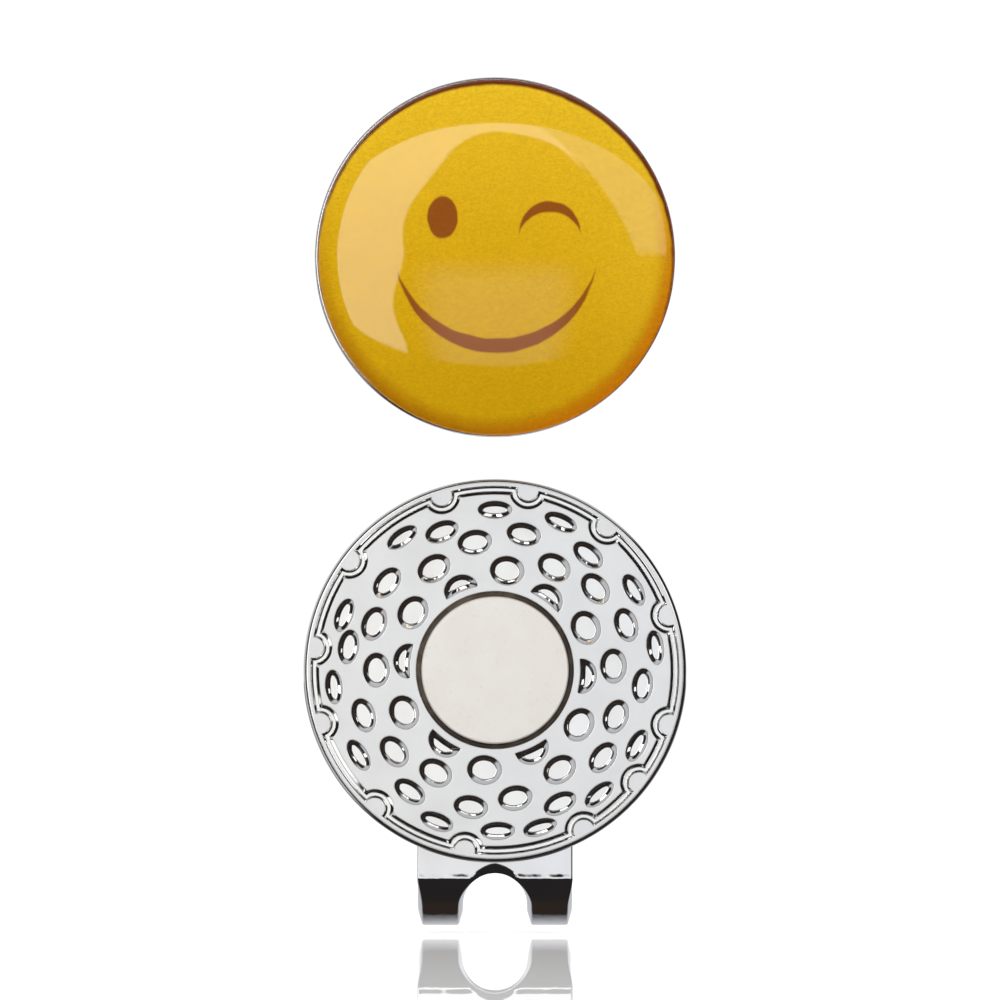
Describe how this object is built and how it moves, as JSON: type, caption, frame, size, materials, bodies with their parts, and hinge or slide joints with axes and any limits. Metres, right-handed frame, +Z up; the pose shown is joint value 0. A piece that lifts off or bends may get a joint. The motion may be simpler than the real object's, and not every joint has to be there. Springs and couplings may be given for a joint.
{
  "type": "golf ball marker with magnetic hat clip",
  "caption": "Domed round golf ball marker with a steel back, and a polished hat clip whose dimpled disc holds it by a magnet and whose spring tongue grips a cap's brim.",
  "frame": {"origin": "on the disc's axis, at the inner face of the clip's front leaf, the face that a cap's brim bears on", "axes": "+Z up from the clip's bend to the marker, -Y out of the dimpled face towards the viewer, +X to the viewer's right"},
  "size_m": [0.0266, 0.0109, 0.0588],
  "materials": {
    "polished_nickel": "mirror-polished nickel plate",
    "spring_strip": "polished nickel plate on spring steel",
    "magnet_plating": "satin nickel plate with faint mottling",
    "glue": "dark brown cured adhesive",
    "solder": "dull tin solder",
    "coin_plating": "bright nickel plate on steel",
    "adhesive": "clear pressure-sensitive adhesive",
    "label_print": "printed paper label with fine print grain",
    "clear_resin": "clear glossy doming resin"
  },
  "bodies": {
    "hat_clip": {"face_plate": "polished_nickel", "magnet": "magnet_plating", "magnet_glue": "glue", "solder_joint": "solder", "clip_neck": "spring_strip"},
    "tongue": {"clip_tongue": "spring_strip"},
    "marker": {"marker_coin": "coin_plating", "label_adhesive": "adhesive", "printed_label": "label_print", "resin_dome": "clear_resin"}
  },
  "joints": [
    {"name": "tongue_flex", "type": "hinge", "parent": "hat_clip", "child": "tongue", "pos_m": [0, 0.0023, -0.0177], "axis": [-1, 0, 0], "range_deg": [0, 8], "stiffness_Nm_per_rad": 1.3},
    {"name": "marker_lift", "type": "slide", "parent": "hat_clip", "child": "marker", "axis": [0, 0, 1], "range_m": [-0.0286, 0]}
  ]
}
